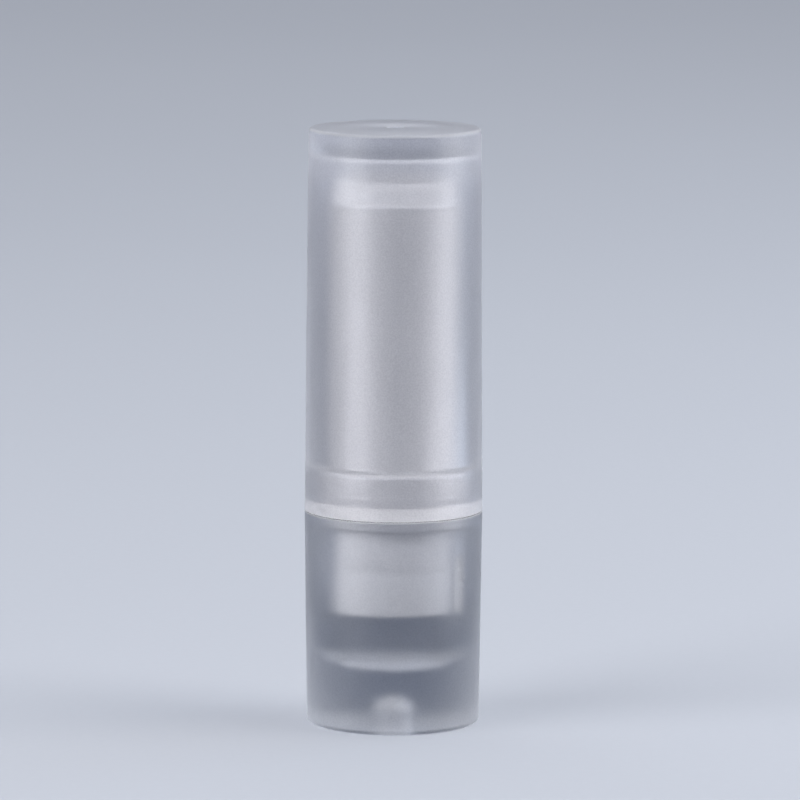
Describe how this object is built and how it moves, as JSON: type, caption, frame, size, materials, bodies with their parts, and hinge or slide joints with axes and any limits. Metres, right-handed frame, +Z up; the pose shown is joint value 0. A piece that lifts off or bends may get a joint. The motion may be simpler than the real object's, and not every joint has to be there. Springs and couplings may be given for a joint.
{
  "type": "lip balm tube",
  "caption": "Closed frosted lip balm tube: tall pull-off cap over a short twist base, with a screw mechanism inside that raises the carrier cup for the balm.",
  "frame": {"origin": "centre of the underside, on the surface the tube stands on", "axes": "+Z up along the tube's axis towards the cap; -Y faces the camera of the picture and +X is to its right"},
  "size_m": [0.022, 0.022, 0.074],
  "materials": {
    "frosted_cap": "translucent, fine frosted outside",
    "frosted_base": "translucent, fine frosted outside",
    "satin_sleeve": "satin",
    "white_core": "satin, as moulded",
    "soft_ring": "matte silicone"
  },
  "bodies": {
    "base": {"base_shell": "frosted_base", "drive_fork": "white_core", "drag_ring": "soft_ring"},
    "sleeve": {"mid_sleeve": "satin_sleeve", "spiral_sleeve": "white_core"},
    "cup": {"carrier_cup": "white_core"},
    "cap": {"cap": "frosted_cap"}
  },
  "joints": [
    {"name": "sleeve_turn", "type": "hinge", "parent": "base", "child": "sleeve", "pos_m": [0, 0, 0.025], "axis": [0, 0, -1], "range_deg": [0, 630]},
    {"name": "cup_rise", "type": "slide", "parent": "base", "child": "cup", "axis": [0, 0, 1], "range_m": [0, 0.028]},
    {"name": "cap_pull", "type": "slide", "parent": "sleeve", "child": "cap", "axis": [0, 0, 1], "range_m": [0, 0.05]}
  ],
  "couplings": [
    {"joint": "cup_rise", "follows": "sleeve_turn", "m_per_rad": 0.0025465}
  ]
}
